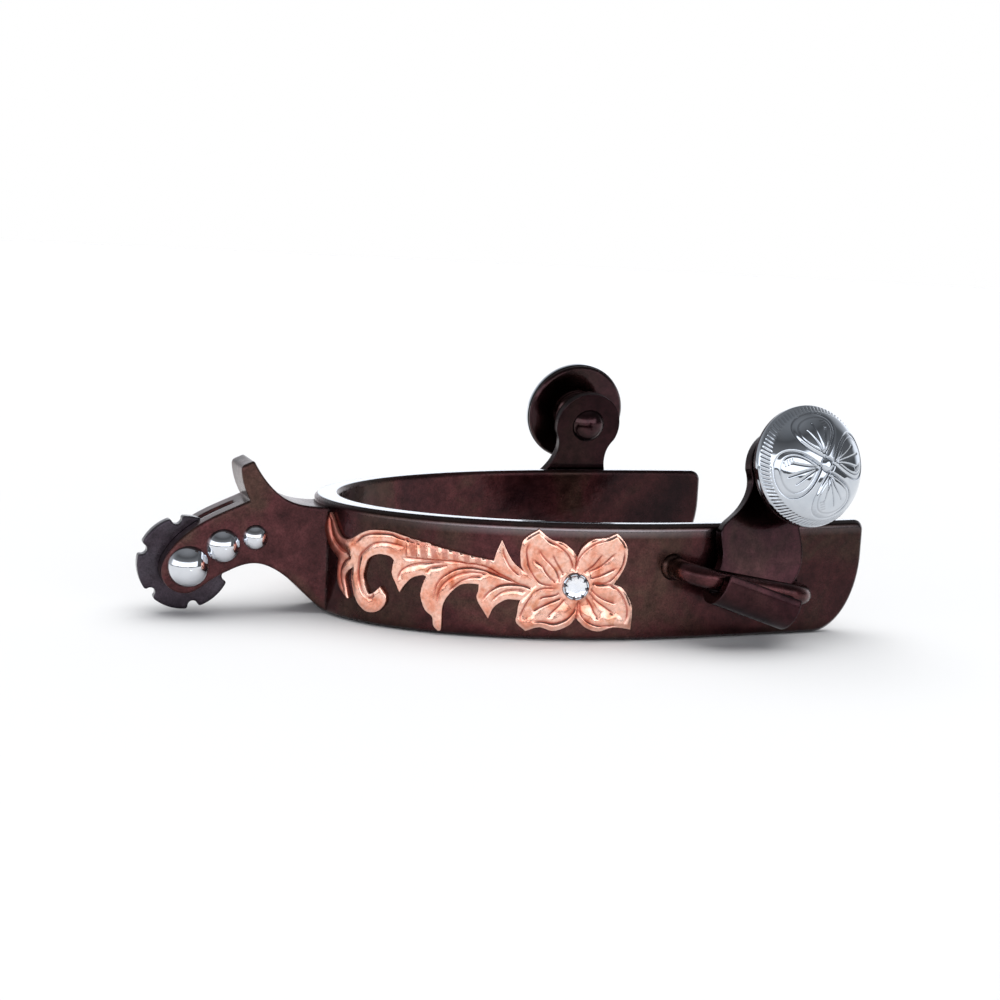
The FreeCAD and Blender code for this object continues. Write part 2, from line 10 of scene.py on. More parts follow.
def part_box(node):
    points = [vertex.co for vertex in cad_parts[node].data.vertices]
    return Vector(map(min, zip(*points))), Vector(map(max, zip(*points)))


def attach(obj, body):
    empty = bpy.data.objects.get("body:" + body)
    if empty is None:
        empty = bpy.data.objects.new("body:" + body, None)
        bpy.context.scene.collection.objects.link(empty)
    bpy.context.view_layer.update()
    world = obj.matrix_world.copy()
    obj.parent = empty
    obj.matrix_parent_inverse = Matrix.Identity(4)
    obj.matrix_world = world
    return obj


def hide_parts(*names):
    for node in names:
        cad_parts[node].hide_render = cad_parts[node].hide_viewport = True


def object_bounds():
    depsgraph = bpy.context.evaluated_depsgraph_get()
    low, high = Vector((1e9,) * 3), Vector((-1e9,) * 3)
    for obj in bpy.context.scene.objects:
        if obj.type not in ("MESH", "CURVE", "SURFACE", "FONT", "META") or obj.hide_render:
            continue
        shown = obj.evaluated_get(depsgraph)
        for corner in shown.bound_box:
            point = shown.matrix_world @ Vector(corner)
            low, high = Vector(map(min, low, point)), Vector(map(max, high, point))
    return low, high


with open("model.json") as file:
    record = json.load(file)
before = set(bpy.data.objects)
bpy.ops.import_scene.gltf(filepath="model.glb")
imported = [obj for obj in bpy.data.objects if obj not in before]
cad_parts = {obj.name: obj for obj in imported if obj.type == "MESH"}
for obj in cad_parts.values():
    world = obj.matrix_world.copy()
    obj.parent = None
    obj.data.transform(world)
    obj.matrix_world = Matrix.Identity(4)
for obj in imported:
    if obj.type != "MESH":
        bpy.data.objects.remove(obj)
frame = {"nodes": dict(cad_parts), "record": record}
CAD_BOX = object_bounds()
NODES = frame["nodes"]
RECORD = frame["record"]
MM = 0.001
SIDES = {"right": -1.0, "left": 1.0}     # the sign of y on each side

BAND_LOW, BAND_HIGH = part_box("heel_band")
BAND_LENGTH = 0.115                      # metres along x from the origin, at the heel, to the toes
HEEL_CENTRE = 0.070                      # x of the centre of the half ellipse that the band's heel follows

# ---------------------------------------------------------------- node helpers


class Nodes:
    """Short calls that add nodes to a tree and join them."""

    def __init__(self, tree):
        self.tree = tree

    def join(self, source, socket):
        if isinstance(source, bpy.types.NodeSocket):
            self.tree.links.new(source, socket)
        else:
            socket.default_value = source

    def split(self, vector):
        node = self.tree.nodes.new("ShaderNodeSeparateXYZ")
        self.join(vector, node.inputs[0])
        return node.outputs

    def ramp(self, source, stops):
        """Colours or greys along a value: stops is [(position, colour or grey), ...]."""
        node = self.tree.nodes.new("ShaderNodeValToRGB")
        elements = node.color_ramp.elements
        while len(elements) < len(stops):
            elements.new(0.5)
        for element, (position, colour) in zip(elements, stops):
            element.position = position
            if not isinstance(colour, tuple):
                colour = (colour, colour, colour)
            element.color = (*colour, 1.0)
        self.join(source, node.inputs["Fac"])
        return node.outputs["Color"]

    def mix(self, factor, a, b, blend="MIX"):
        node = self.tree.nodes.new("ShaderNodeMix")
        node.data_type = "RGBA"
        node.blend_type = blend
        self.join(factor, node.inputs["Factor"])
        for value, index in ((a, 6), (b, 7)):
            if isinstance(value, tuple):
                value = (*value, 1.0)
            self.join(value, node.inputs[index])
        return node.outputs[2]

    def math(self, operation, a, b=0.0, clamp=False):
        node = self.tree.nodes.new("ShaderNodeMath")
        node.operation = operation
        node.use_clamp = clamp
        self.join(a, node.inputs[0])
        self.join(b, node.inputs[1])
        return node.outputs[0]

    def between(self, source, low, high):
        """Nought up to low and one past high, straight between them."""
        return self.math("DIVIDE", self.math("SUBTRACT", source, low), high - low, clamp=True)


# ---------------------------------------------------------------- materials

CROWN_TOP = 2.4 * MM         # how far below its top edge the band's outer wall starts to round over
CROWN_TOP_FALL = 0.056       # mm, how far it falls 1 mm on; it grows with the cube
CROWN_FOOT = 2.0 * MM        # the same above its bottom edge
CROWN_FOOT_FALL = 0.060      # mm, 1 mm on; it grows with the square
POLISH_AND_HIGHLIGHT_REACH = 3.2 * MM      # how far below the top edge the wall is polished and painted with a highlight
# painted highlight: the grey painted in a strip under the outer wall's top edge
PAINTED_WALL_HIGHLIGHT = (0.30, 0.28, 0.29)
# painted highlight: the pale bluish grey painted on level tops
PAINTED_TOP_HIGHLIGHT = (0.66, 0.69, 0.75)
PLATE_PAINTED_SHADE = 0.60            # painted shade: how bright a plate's upper part is made beside its lower part
# Painted shade along the band, from the heel to the toes: how bright its brown is made at each place; then
# how strongly the wall is polished and painted with a highlight along the band, and up it over the reach
# above.
PAINTED_SHADE_ALONG_BAND = [(0.0, 0.98), (0.03, 0.56), (0.12, 0.60), (0.24, 1.02), (0.46, 1.00), (0.64, 0.66), (0.85, 0.48),
            (1.0, 0.44)]
POLISH_AND_HIGHLIGHT_ALONG = [(0.0, 0.0), (0.10, 0.15), (0.25, 0.90), (0.48, 1.0), (0.62, 0.50), (0.85, 0.30)]
POLISH_AND_HIGHLIGHT_UP = [(0.0, 0.0), (0.45, 0.40), (0.56, 0.65), (0.68, 0.05)]


class Shader(Nodes):
    """A material being built, with its pattern in the object's own coordinates."""

    def __init__(self, name):
        self.material = bpy.data.materials.new(name)
        self.material.use_nodes = True
        super().__init__(self.material.node_tree)
        self.bsdf = self.tree.nodes["Principled BSDF"]
        self.coords = self.tree.nodes.new("ShaderNodeTexCoord").outputs["Object"]

    def place(self, axis):
        """The place along one axis, "X", "Y" or "Z", in metres."""
        return self.split(self.coords)[axis]

    def noise(self, scale, detail=4.0, roughness=0.55, stretch=None, distortion=0.0):
        node = self.tree.nodes.new("ShaderNodeTexNoise")
        node.inputs["Scale"].default_value = scale
        node.inputs["Detail"].default_value = detail
        node.inputs["Roughness"].default_value = roughness
        node.inputs["Distortion"].default_value = distortion
        source = self.coords
        if stretch:
            mapping = self.tree.nodes.new("ShaderNodeMapping")
            mapping.inputs["Scale"].default_value = stretch
            self.join(source, mapping.inputs["Vector"])
            source = mapping.outputs["Vector"]
        self.join(source, node.inputs["Vector"])
        return node.outputs["Fac"]

    def attribute(self, name):
        node = self.tree.nodes.new("ShaderNodeAttribute")
        node.attribute_name = name
        return node.outputs["Fac"]

    def dot(self, a, b):
        node = self.tree.nodes.new("ShaderNodeVectorMath")
        node.operation = "DOT_PRODUCT"
        self.join(a, node.inputs[0])
        self.join(b, node.inputs[1])
        return node.outputs["Value"]

    def surface_normal(self):
        return self.tree.nodes.new("ShaderNodeNewGeometry").outputs["Normal"]

    def worn_edge(self, radius, low, high):
        """The normal with edges rounded over, and a mask: one along edges, nought on flat ground."""
        bevel = self.tree.nodes.new("ShaderNodeBevel")
        bevel.samples = 6
        bevel.inputs["Radius"].default_value = radius
        rounded = bevel.outputs["Normal"]
        turned = self.math("SUBTRACT", 1.0, self.dot(rounded, self.surface_normal()), clamp=True)
        return rounded, self.ramp(turned, [(low, 0.0), (high, 1.0)])

    def crowned_edges(self):
        """Height, in mm, that falls away near the outer wall's top and bottom edges."""
        z = self.place("Z")
        above = self.math("DIVIDE", self.math("SUBTRACT", z, BAND_HIGH.z - CROWN_TOP), MM)
        below = self.math("DIVIDE", self.math("SUBTRACT", BAND_LOW.z + CROWN_FOOT, z), MM)
        above = self.math("POWER", self.math("MAXIMUM", above, 0.0), 3.0)
        below = self.math("POWER", self.math("MAXIMUM", below, 0.0), 2.0)
        above = self.math("MULTIPLY", above, -CROWN_TOP_FALL)
        below = self.math("MULTIPLY", below, -CROWN_FOOT_FALL)
        return self.math("MULTIPLY", self.math("ADD", above, below), self.outer_wall())

    def outer_wall(self):
        """One on the band's outer wall, nought on its inner one."""
        outward = self.tree.nodes.new("ShaderNodeVectorMath")
        outward.operation = "SUBTRACT"
        self.join(self.coords, outward.inputs[0])
        outward.inputs[1].default_value = (HEEL_CENTRE, 0.0, 0.0)
        return self.math("GREATER_THAN", self.dot(outward.outputs[0], self.surface_normal()), 0.0)

    def facing_up(self):
        """One on level tops, nought on walls."""
        return self.ramp(self.split(self.surface_normal())["Z"], [(0.80, 0.0), (0.95, 1.0)])

    def bump(self, height, distance, below=None):
        node = self.tree.nodes.new("ShaderNodeBump")
        node.inputs["Distance"].default_value = distance
        self.join(height, node.inputs["Height"])
        if below is not None:
            self.join(below, node.inputs["Normal"])
        return node.outputs["Normal"]

    def set(self, **values):
        for key, value in values.items():
            socket = self.bsdf.inputs[key.replace("_", " ")]
            if isinstance(value, tuple):
                value = (*value, 1.0)
            self.join(value, socket)


def browned_steel(name, dark, mid, light, worn, rough=(0.16, 0.34), wear=1.0, rim=1.0, coat=0.2,
                  is_band=False, plate=None):
    """Steel with a brown oxide finish, clouded, oiled, and rubbed through along its edges.

    rim is how far, in mm, its edges are worn round. plate is the two heights, in metres, over which painted
    shade darkens it toward the top."""
    s = Shader(name)
    clouds = s.noise(46.0, 4.0, 0.55, distortion=0.5)
    mottle = s.noise(420.0, 6.0, 0.68)
    grain = s.noise(2600.0, 3.0, 0.6)
    colour = s.ramp(clouds, [(0.30, dark), (0.48, mid), (0.60, light), (0.72, mid)])
    colour = s.mix(1.0, colour, s.ramp(mottle, [(0.28, 0.55), (0.5, 1.0), (0.74, 1.5)]), "MULTIPLY")
    colour = s.mix(1.0, colour, s.ramp(grain, [(0.30, 0.70), (0.62, 1.15)]), "MULTIPLY")
    if plate:
        # painted shade: the plate is darkened toward its top
        shade = s.ramp(s.between(s.place("Z"), *plate), [(0.0, 1.0), (1.0, PLATE_PAINTED_SHADE)])
        colour = s.mix(1.0, colour, shade, "MULTIPLY")
    normal, edge = s.worn_edge(rim * MM, 0.05, 0.32)
    rub = s.ramp(s.noise(330.0, 5.0, 0.65), [(0.42, 0.05), (0.62, 1.0)])
    rubbed = s.math("MULTIPLY", s.math("MULTIPLY", edge, rub), 0.40 * wear)
    colour = s.mix(rubbed, colour, worn)
    roughness = s.ramp(s.noise(150.0, 5.0, 0.62), [(0.28, rough[0]), (0.74, rough[1])])
    if is_band:
        normal = s.bump(s.crowned_edges(), 1.0 * MM, below=normal)
        along = s.between(s.place("X"), 0.0, BAND_LENGTH)
        # painted shade: the band's colour is darkened just past the heel and toward the toes
        colour = s.mix(1.0, colour, s.ramp(along, PAINTED_SHADE_ALONG_BAND), "MULTIPLY")
        # painted highlight: a grey strip under the outer wall's top edge, strongest midway along the band;
        # the same mask makes the strip smoother
        under_rim = s.between(s.place("Z"), BAND_HIGH.z - POLISH_AND_HIGHLIGHT_REACH, BAND_HIGH.z)
        polish_and_highlight = s.math("MULTIPLY", s.ramp(under_rim, POLISH_AND_HIGHLIGHT_UP), s.ramp(along, POLISH_AND_HIGHLIGHT_ALONG))
        polish_and_highlight = s.math("MULTIPLY", polish_and_highlight, s.outer_wall())
        # painted highlight: level tops are painted pale bluish grey, and made smoother
        top = s.facing_up()
        colour = s.mix(polish_and_highlight, colour, PAINTED_WALL_HIGHLIGHT)
        colour = s.mix(top, colour, PAINTED_TOP_HIGHLIGHT)
        smoothed = s.math("MAXIMUM", s.math("MULTIPLY", top, 0.7), polish_and_highlight)
        roughness = s.mix(smoothed, roughness, (0.10, 0.10, 0.10))
    normal = s.bump(s.noise(240.0, 3.0, 0.5), 0.035 * MM, below=normal)
    normal = s.bump(s.noise(950.0, 4.0, 0.6), 0.010 * MM, below=normal)
    s.set(Base_Color=colour, Metallic=1.0, Roughness=roughness, Normal=normal)
    s.set(Coat_Weight=coat, Coat_Roughness=0.07, Coat_Normal=normal)
    return s.material


def polished(name, colour, rough, scratch=0.004):
    """Bright plated or silver metal: faint haze and hairline scratches."""
    s = Shader(name)
    haze = s.noise(240.0, 5.0, 0.6)
    tint = s.ramp(haze, [(0.3, tuple(0.88 * c for c in colour)), (0.7, colour)])
    roughness = s.ramp(s.noise(520.0, 4.0, 0.6), [(0.3, rough[0]), (0.75, rough[1])])
    hair = s.bump(s.noise(1500.0, 2.0, 0.5, (1.0, 1.0, 6.0)), scratch * MM)
    s.set(Base_Color=tint, Metallic=1.0, Roughness=roughness, Normal=hair)
    return s.material


def engraved_silver(name, stain):
    """Bright silver, darkened in its cuts."""
    s = Shader(name)
    cut = s.attribute("cut")
    haze = s.ramp(s.noise(260.0, 5.0, 0.6), [(0.3, (0.53, 0.57, 0.62)), (0.7, (0.63, 0.66, 0.70))])
    colour = s.mix(s.math("MULTIPLY", cut, stain), haze, (0.10, 0.10, 0.12))
    wear = s.ramp(s.noise(620.0, 4.0, 0.6), [(0.3, 0.01), (0.75, 0.05)])
    roughness = s.mix(cut, wear, (0.22, 0.22, 0.22))
    hair = s.bump(s.noise(1700.0, 2.0, 0.5, (5.0, 1.0, 1.0)), 0.003 * MM)
    s.set(Base_Color=colour, Metallic=1.0, Roughness=roughness, Normal=hair)
    return s.material


def engraved_copper():
    """Pink copper, a painted highlight near its rims, and red-brown stain in its cuts and as painted shade.
    """
    s = Shader("engraved_copper")
    cut = s.attribute("cut")
    rim = s.attribute("rim")
    clouds = s.noise(230.0, 4.0, 0.58, distortion=0.4)
    warm = s.ramp(clouds, [(0.30, (0.62, 0.17, 0.09)), (0.44, (0.90, 0.40, 0.28)), (0.58, (1.0, 0.60, 0.48)),
                           (0.72, (0.84, 0.36, 0.22))])
    fine = s.ramp(s.noise(1500.0, 4.0, 0.6), [(0.32, 0.80), (0.62, 1.05)])
    colour = s.mix(1.0, warm, fine, "MULTIPLY")
    # painted highlight: pale pink mixed in near each rim
    colour = s.mix(s.math("MULTIPLY", rim, 0.30), colour, (1.0, 0.72, 0.62))
    stain = s.math("MULTIPLY", cut, s.ramp(s.noise(700.0, 3.0, 0.5), [(0.25, 0.75), (0.7, 1.0)]), clamp=True)
    colour = s.mix(stain, colour, (0.36, 0.055, 0.035))
    buffed = s.ramp(s.noise(600.0, 4.0, 0.6), [(0.3, 0.10), (0.7, 0.20)])
    roughness = s.mix(stain, buffed, (0.40, 0.40, 0.40))
    hammered = s.bump(s.noise(170.0, 1.5, 0.40), 0.50 * MM)
    chased = s.bump(s.noise(800.0, 3.0, 0.55), 0.035 * MM, below=hammered)
    s.set(Base_Color=colour, Metallic=1.0, Roughness=roughness, Normal=chased)
    return s.material


def cut_glass():
    """Clear glass with a trace of surface haze."""
    s = Shader("cut_glass")
    tint = s.ramp(s.noise(500.0, 2.0, 0.5), [(0.3, (0.94, 0.96, 1.0)), (0.7, (1.0, 1.0, 1.0))])
    haze = s.ramp(s.noise(900.0, 2.0, 0.5), [(0.4, 0.0), (0.8, 0.02)])
    s.set(Base_Color=tint, Transmission_Weight=1.0, IOR=1.6, Roughness=haze)
    return s.material


STEEL = browned_steel(
    "browned_steel", (0.036, 0.012, 0.013), (0.084, 0.026, 0.028), (0.078, 0.040, 0.031),
    (0.26, 0.22, 0.22), rough=(0.20, 0.38))
BAND_STEEL = browned_steel(
    "band_steel", (0.026, 0.009, 0.011), (0.084, 0.024, 0.026), (0.076, 0.038, 0.029),
    (0.30, 0.26, 0.26), rough=(0.17, 0.34), is_band=True)
DARK_BROWNS = (0.020, 0.006, 0.008), (0.040, 0.013, 0.016), (0.036, 0.016, 0.015), (0.16, 0.13, 0.15)
HANGER_STEEL = browned_steel("hanger_steel", *DARK_BROWNS, rough=(0.15, 0.30), wear=0.5, rim=0.6, coat=0.3)
PLATE_STEEL = browned_steel("plate_steel", *DARK_BROWNS, rough=(0.15, 0.30), wear=0.5, rim=0.6, coat=0.12,
                            plate=(0.016, 0.022))
ROWEL_STEEL = browned_steel(
    "rowel_steel", (0.026, 0.019, 0.028), (0.043, 0.032, 0.042), (0.050, 0.041, 0.052),
    (0.20, 0.19, 0.24), wear=0.5)
CHROME = polished("chrome", (0.74, 0.76, 0.80), (0.02, 0.06))
SILVER = engraved_silver("engraved_silver", 0.35)
DARK_SILVER = engraved_silver("bezel_silver", 0.95)
FOIL = polished("stone_foil", (1.0, 1.0, 1.0), (0.08, 0.25), scratch=0.001)
COPPER = engraved_copper()
GLASS = cut_glass()

CAD_FINISH = {
    "heel_band": BAND_STEEL, "shank": STEEL, "rowel": ROWEL_STEEL, "hanger_staple": STEEL,
    "rowel_pin": CHROME, "rowel_pin_left_dome": CHROME, "middle_stud": CHROME, "small_stud": CHROME,
    "strap_hanger": PLATE_STEEL, "button_post": HANGER_STEEL, "button_back": HANGER_STEEL,
    "button_rivet": HANGER_STEEL}


def short_name(node):
    """A node's name without its side."""
    for side in SIDES:
        if node.startswith(side + "_"):
            return node[len(side) + 1:]
    return node


def finish_cad_nodes():
    for name, node in NODES.items():
        finish = CAD_FINISH.get(short_name(name))
        if finish:
            node.data.materials.clear()
            node.data.materials.append(finish)


# ---------------------------------------------------------------- meshes


def new_piece(name, points, faces, material, smooth=True, attributes=None):
    mesh = bpy.data.meshes.new(name)
    mesh.from_pydata([tuple(p) for p in points], [], [tuple(f) for f in faces])
    mesh.validate()
    for key, values in (attributes or {}).items():
        layer = mesh.attributes.new(key, "FLOAT", "POINT")
        layer.data.foreach_set("value", np.asarray(values, np.float32))
    mesh.polygons.foreach_set("use_smooth", [smooth] * len(mesh.polygons))
    mesh.materials.append(material)
    piece = bpy.data.objects.new(name, mesh)
    bpy.context.scene.collection.objects.link(piece)
    return piece


def install(piece, body, slot, *nodes):
    """Put a piece on a body and hide the CAD nodes that it stands for; slot is not used."""
    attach(piece, body)
    if nodes:
        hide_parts(*nodes)


def smooth_step(low, high, value):
    t = np.clip((value - low) / (high - low), 0.0, 1.0)
    return t * t * (3 - 2 * t)


def curve_through(points, step):
    """A smooth line through the points (Catmull-Rom), as an array of places about a step apart."""
    p = np.array(points, float)
    if len(p) == 2:
        count = max(2, int(np.linalg.norm(p[1] - p[0]) / step) + 1)
        return p[0] + (p[1] - p[0]) * np.linspace(0, 1, count)[:, None]
    p = np.vstack([2 * p[0] - p[1], p, 2 * p[-1] - p[-2]])
    line = []
    for a, b, c, d in zip(p, p[1:], p[2:], p[3:]):
        count = max(2, int(np.linalg.norm(c - b) / step) + 1)
        t = np.linspace(0, 1, count, endpoint=False)[:, None]
        line.append(0.5 * (2 * b + (c - a) * t + (2 * a - 5 * b + 4 * c - d) * t ** 2
                           + (3 * b - a - 3 * c + d) * t ** 3))
    return np.vstack(line + [p[-2:-1]])


def to_line(places, line):
    """Distance of each place to a line, the side it lies on (+1 left), and how far along it is, 0 to 1."""
    a, b = line[:-1], line[1:]
    d = b - a
    lengths = np.maximum(np.hypot(d[:, 0], d[:, 1]), 1e-9)
    best = np.full(len(places), 1e9)
    side = np.ones(len(places))
    along = np.zeros(len(places))
    start = np.concatenate([[0.0], np.cumsum(lengths)])
    for i in range(len(a)):
        rel = places - a[i]
        t = np.clip((rel @ d[i]) / lengths[i] ** 2, 0, 1)
        gap = rel - t[:, None] * d[i]
        dist = np.hypot(gap[:, 0], gap[:, 1])
        near = dist < best
        best[near] = dist[near]
        side[near] = np.sign(d[i][0] * rel[near, 1] - d[i][1] * rel[near, 0])
        along[near] = (start[i] + t[near] * lengths[i]) / start[-1]
    return best, side, along


# ---------------------------------------------------------------- copper trim

RELIEF_STEP = 0.16                 # mm between points of an ornament's surface
COPPER_RISE = 1.1                  # mm, its height above the wall
SKIRT_RISE = -0.05                 # mm, where its skirt ends, just inside the wall
STONE = np.array((65.7, 12.0))     # the stone's centre: mm along the wall from the heel, and mm up it

# The band's outer wall, in mm: half an ellipse in plan, and how far along it each turn from the heel is.
WALL_REACH = (HEEL_CENTRE - BAND_LOW.x) / MM
WALL_HALF = BAND_HIGH.y / MM
WALL_TURNS = np.linspace(0, math.pi / 2, 4001)
WALL_PLAN = np.column_stack([HEEL_CENTRE / MM - WALL_REACH * np.cos(WALL_TURNS),
                             WALL_HALF * np.sin(WALL_TURNS)])
WALL_LENGTHS = np.concatenate([[0.0], np.cumsum(np.hypot(*np.diff(WALL_PLAN, axis=0).T))])


def on_wall(places, rise, sign):
    """Points in metres for (s, z) in mm on the band's outer wall, raised by rise mm, on the side of sign."""
    turn = np.interp(places[:, 0], WALL_LENGTHS, WALL_TURNS)
    x = HEEL_CENTRE / MM - WALL_REACH * np.cos(turn)
    y = WALL_HALF * np.sin(turn)
    nx, ny = -np.cos(turn) / WALL_REACH, np.sin(turn) / WALL_HALF
    size = np.hypot(nx, ny)
    return np.column_stack([x + rise * nx / size, sign * (y + rise * ny / size), places[:, 1]]) * MM


def inside_loop(places, loop):
    """Whether each place is inside a closed loop."""
    inside = np.zeros(len(places), bool)
    for a, b in zip(loop, np.roll(loop, -1, axis=0)):
        if a[1] == b[1]:
            continue
        crosses = (a[1] > places[:, 1]) != (b[1] > places[:, 1])
        inside ^= crosses & (places[:, 0] < a[0] + (places[:, 1] - a[1]) * (b[0] - a[0]) / (b[1] - a[1]))
    return inside


def signed_area(loop):
    """Twice the area of a loop, more than nought if it runs anticlockwise."""
    return np.sum(loop[:, 0] * np.roll(loop[:, 1], -1) - np.roll(loop[:, 0], -1) * loop[:, 1])


def tiled(loop, closed):
    """Places inside a loop, with the loop's own first, and anticlockwise triangles that join them."""
    low, high = loop.min(0), loop.max(0)
    grid = np.stack(np.meshgrid(np.arange(low[0], high[0], RELIEF_STEP),
                                np.arange(low[1], high[1], 0.87 * RELIEF_STEP)), -1)
    grid[::2, :, 0] += RELIEF_STEP / 2
    grid = grid.reshape(-1, 2)
    grid = grid[inside_loop(grid, loop)]
    grid = grid[to_line(grid, closed)[0] > 0.55 * RELIEF_STEP]
    verts, _, faces, _, _, _ = delaunay_2d_cdt(
        [Vector(p) for p in np.vstack([loop, grid])], [], [list(range(len(loop)))], 1, 1e-6)
    places = np.array([tuple(v) for v in verts])
    if signed_area(places[list(faces[0])]) < 0:
        faces = [f[::-1] for f in faces]
    return places, [tuple(f) for f in faces]


def relief(name, strokes, shape, node):
    """A raised ornament on each wall: its outline in (s, z) mm, and shape(places, edge) for its height."""
    loop = np.vstack([curve_through(stroke, RELIEF_STEP)[:-1] for stroke in strokes])
    closed = np.vstack([loop, loop[:1]])
    places, faces = tiled(loop, closed)
    rise, cut, rim = shape(places, to_line(places, closed)[0])
    count = len(loop)
    skirt = [(i, len(places) + i, len(places) + (i + 1) % count, (i + 1) % count) for i in range(count)]
    if signed_area(loop) < 0:
        skirt = [f[::-1] for f in skirt]
    faces = faces + skirt
    foot = np.full(count, SKIRT_RISE)
    foot_cut, foot_rim = np.full(count, 0.5), np.zeros(count)
    for side, sign in SIDES.items():
        points = np.vstack([on_wall(places, rise, sign), on_wall(places[:count], foot, sign)])
        turned = faces if sign < 0 else [f[::-1] for f in faces]
        piece = new_piece(f"{side}_{name}", points, turned, COPPER, attributes={
            "cut": np.concatenate([cut, foot_cut]), "rim": np.concatenate([rim, foot_rim])})
        install(piece, "spur_frame", "copper", f"{side}_{node}")


def carved(places, edge, lines):
    """Height of rounded copper with engraved lines, how deep in a cut each place is, and how near a rim."""
    sloped = np.clip(edge / 1.1, 0, 1)
    rise = COPPER_RISE * (0.84 + 0.16 * (1 - (1 - sloped) ** 1.6))
    cut = np.zeros(len(places))
    for points, depth, left, right in lines:
        line = curve_through(points, 0.35)
        gap, side, along = to_line(places, line)
        taper = smooth_step(-0.02, 0.10, along) * smooth_step(1.02, 0.82, along)
        width = np.maximum(np.where(side > 0, left, right), 0.27)
        rise -= 0.85 * depth * taper * np.exp(-gap / width)
        cut = np.maximum(cut, taper * np.exp(-(gap / 0.21) ** 2))
    # nearness to a rim, where the copper paints a highlight
    rim = np.exp(-(np.clip(edge - 0.2, 0, None) / 0.3) ** 2)
    return np.maximum(rise, 0.12), cut, rim


# Outlines are strokes of (s, z), mm along the wall from the heel and mm up it.
FLOWER_OUTLINE = [
    [(56.8, 12.2), (54.2, 15.6), (53.8, 17.1), (53.7, 19.7), (54.5, 22.1), (57.4, 24.2)],
    [(57.4, 24.2), (60.0, 22.1), (62.6, 21.5), (64.7, 19.9), (65.8, 18.4)],
    [(65.8, 18.4), (67.1, 20.8), (69.0, 22.3), (72.0, 22.7), (74.1, 23.7)],
    [(74.1, 23.7), (75.3, 22.6), (76.5, 20.9), (76.8, 18.8), (76.1, 15.9), (74.1, 12.5)],
    [(74.1, 12.5), (75.8, 11.9), (77.3, 10.2), (78.3, 7.9), (78.5, 5.3), (78.3, 2.6)],
    [(78.3, 2.6), (76.0, 3.0), (74.0, 3.0), (71.0, 2.2), (68.4, 3.0), (66.9, 4.3), (66.1, 5.0)],
    [(66.1, 5.0), (64.6, 3.4), (61.5, 2.2), (58.4, 2.9), (55.5, 2.0)],
    [(55.5, 2.0), (53.5, 3.8), (53.6, 5.7), (54.1, 8.5), (56.8, 12.2)],
]
# Engraved lines: points, depth, and how far the surface slopes down to the line on its left and right.
FLOWER_LINES = [
    ([(65.1, 15.3), (64.7, 17.0), (63.6, 19.0), (61.7, 20.6), (59.8, 21.6), (58.3, 22.7)], 0.45, 0.9, 0.18),
    ([(61.5, 11.9), (59.0, 12.3), (57.2, 13.4), (55.9, 15.4), (55.2, 17.8), (55.0, 19.8), (55.8, 21.9)],
     0.45, 0.18, 0.9),
    ([(62.5, 12.4), (61.6, 15.0), (60.1, 16.7), (58.5, 18.3), (57.3, 20.1)], 0.4, 0.2, 1.0),
    ([(61.6, 12.4), (59.5, 14.6), (58.5, 16.1), (57.3, 17.0), (56.0, 17.6)], 0.4, 0.2, 1.0),
    ([(63.2, 14.3), (62.2, 15.8), (61.2, 17.4), (60.5, 18.9)], 0.32, 0.7, 0.2),
    ([(65.7, 15.7), (66.1, 17.8), (67.5, 19.8), (69.6, 21.3), (72.0, 22.2)], 0.45, 0.18, 0.9),
    ([(69.2, 12.6), (72.0, 12.7), (73.8, 14.0), (75.3, 15.6), (76.1, 18.1), (75.7, 20.5)], 0.45, 0.9, 0.18),
    ([(68.3, 15.0), (70.9, 16.3), (72.7, 17.9), (74.4, 19.6)], 0.4, 0.2, 1.0),
    ([(67.2, 14.8), (69.2, 16.3), (70.4, 17.8), (71.4, 19.2)], 0.35, 0.2, 0.9),
    ([(68.8, 13.7), (70.8, 14.3), (72.8, 15.4), (74.8, 16.2)], 0.35, 0.9, 0.2),
    ([(69.2, 12.6), (72.0, 12.5), (73.9, 12.1), (75.8, 10.3), (77.1, 7.7), (77.2, 5.2), (76.2, 3.3)],
     0.45, 0.18, 0.9),
    ([(66.8, 9.0), (67.1, 6.5), (68.1, 4.8), (70.7, 3.6), (73.5, 3.4), (76.0, 3.6)], 0.45, 0.9, 0.18),
    ([(68.5, 11.1), (70.2, 9.0), (72.3, 7.5), (74.7, 5.8)], 0.4, 0.2, 1.0),
    ([(68.9, 11.6), (70.7, 10.0), (72.8, 9.0), (75.1, 8.3)], 0.38, 1.0, 0.2),
    ([(67.9, 9.9), (69.3, 7.9), (70.1, 6.2), (71.4, 4.7)], 0.38, 0.2, 0.9),
    ([(61.8, 11.3), (58.9, 11.3), (57.1, 10.4), (55.4, 7.9), (54.3, 5.2), (54.7, 3.5)], 0.45, 0.9, 0.18),
    ([(66.3, 8.2), (65.4, 6.3), (63.9, 4.8), (61.5, 3.9), (59.1, 4.2), (56.5, 4.2)], 0.45, 0.18, 0.9),
    ([(63.1, 9.5), (60.2, 8.3), (58.0, 7.1), (56.4, 6.2)], 0.4, 0.2, 0.9),
    ([(63.8, 9.3), (62.4, 7.6), (61.0, 6.2), (59.8, 4.9)], 0.38, 0.9, 0.2),
    ([(62.6, 10.4), (60.8, 9.8), (59.0, 9.5), (57.8, 8.7)], 0.38, 0.2, 0.9),
    ([(65.8, 19.6), (65.7, 17.2), (65.5, 14.4)], 0.5, 0.3, 0.3),
    ([(66.1, 4.0), (66.4, 6.6), (66.6, 9.4)], 0.5, 0.3, 0.3),
]


